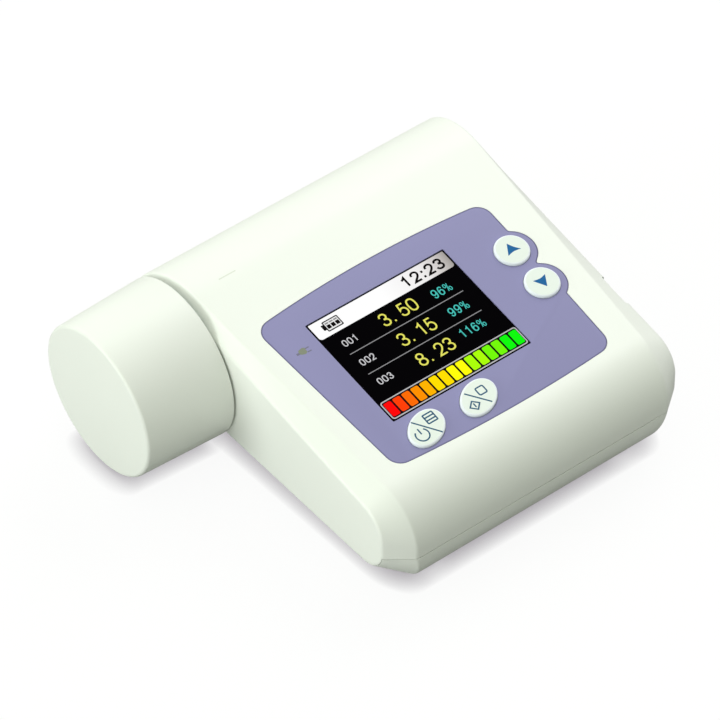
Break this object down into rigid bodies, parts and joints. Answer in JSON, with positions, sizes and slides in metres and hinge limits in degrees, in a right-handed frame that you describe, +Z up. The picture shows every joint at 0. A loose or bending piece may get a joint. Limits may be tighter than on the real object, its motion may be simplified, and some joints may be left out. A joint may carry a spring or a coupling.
{
  "type": "handheld spirometer",
  "caption": "Handheld electronic spirometer: wedge housing with a flow tube across the back, pull-out turbine, push-on cap, colour screen and push buttons.",
  "frame": {"origin": "middle of the bounding box's base, on the surface that it stands on", "axes": "+X along the flow tube, away from the cap; +Y from the screen's front edge to the tube hump; +Z up"},
  "size_m": [0.0976, 0.087, 0.036],
  "materials": {
    "housing_plastic": "fine moulded texture, satin",
    "cap_plastic": "fine moulded texture, satin",
    "panel_film": "printed film, fine texture",
    "window": "clear, glossy",
    "button_plastic": "satin, printed arrows",
    "lamp_plastic": "translucent",
    "screen": "dark glass, lit",
    "steel": "bright pressed sheet",
    "board": "solder mask",
    "component": "moulded, matt",
    "cell": "wrapped cell",
    "screw_steel": "zinc plated",
    "inner_plastic": "moulded, matt",
    "clear_plastic": "clear moulding",
    "swirler_plastic": "fine moulding",
    "vane": "thin opaque vane",
    "jewel": "polished",
    "seal_rubber": "soft",
    "infrared": "dark tinted"
  },
  "bodies": {
    "housing": {"upper_housing": "housing_plastic", "lower_cover": "housing_plastic", "panel_overlay": "panel_film", "display_window": "window", "charge_light_pipe": "lamp_plastic", "lcd_module": "screen", "lcd_frame": "steel", "main_board": "board", "tact_switches": "component", "charge_led": "component", "board_chips": "component", "buzzer": "component", "charging_socket": "steel", "battery": "cell", "board_screws": "screw_steel", "case_screws": "screw_steel", "flow_sleeve": "inner_plastic", "sensor_board": "board", "infrared_emitter": "infrared", "infrared_receiver": "infrared", "exhaust_grille": "housing_plastic"},
    "up_key": {"up_button": "button_plastic"},
    "down_key": {"down_button": "button_plastic"},
    "power_key": {"power_button": "button_plastic"},
    "start_key": {"start_button": "button_plastic"},
    "turbine": {"turbine_tube": "clear_plastic", "tube_seal": "seal_rubber", "inlet_swirler": "swirler_plastic", "outlet_swirler": "swirler_plastic", "jewel_bearings": "jewel"},
    "rotor": {"rotor_shaft": "steel", "rotor_vane": "vane"},
    "cap": {"end_cap": "cap_plastic"}
  },
  "joints": [
    {"name": "up_press", "type": "slide", "parent": "housing", "child": "up_key", "axis": [0, 0.1805, -0.9836], "range_m": [0, 0.0005], "stiffness_N_per_m": 1500},
    {"name": "down_press", "type": "slide", "parent": "housing", "child": "down_key", "axis": [0, 0.1805, -0.9836], "range_m": [0, 0.0005], "stiffness_N_per_m": 1500},
    {"name": "power_press", "type": "slide", "parent": "housing", "child": "power_key", "axis": [0, 0.1805, -0.9836], "range_m": [0, 0.0005], "stiffness_N_per_m": 1500},
    {"name": "start_press", "type": "slide", "parent": "housing", "child": "start_key", "axis": [0, 0.1805, -0.9836], "range_m": [0, 0.0005], "stiffness_N_per_m": 1500},
    {"name": "turbine_pull", "type": "slide", "parent": "housing", "child": "turbine", "axis": [-1, 0, 0], "range_m": [0, 0.055]},
    {"name": "rotor_spin", "type": "hinge", "parent": "turbine", "child": "rotor", "pos_m": [-0.00125, 0.02545, 0.018], "axis": [1, 0, 0], "continuous": true},
    {"name": "cap_pull", "type": "slide", "parent": "turbine", "child": "cap", "axis": [-1, 0, 0], "range_m": [0, 0.085]}
  ]
}
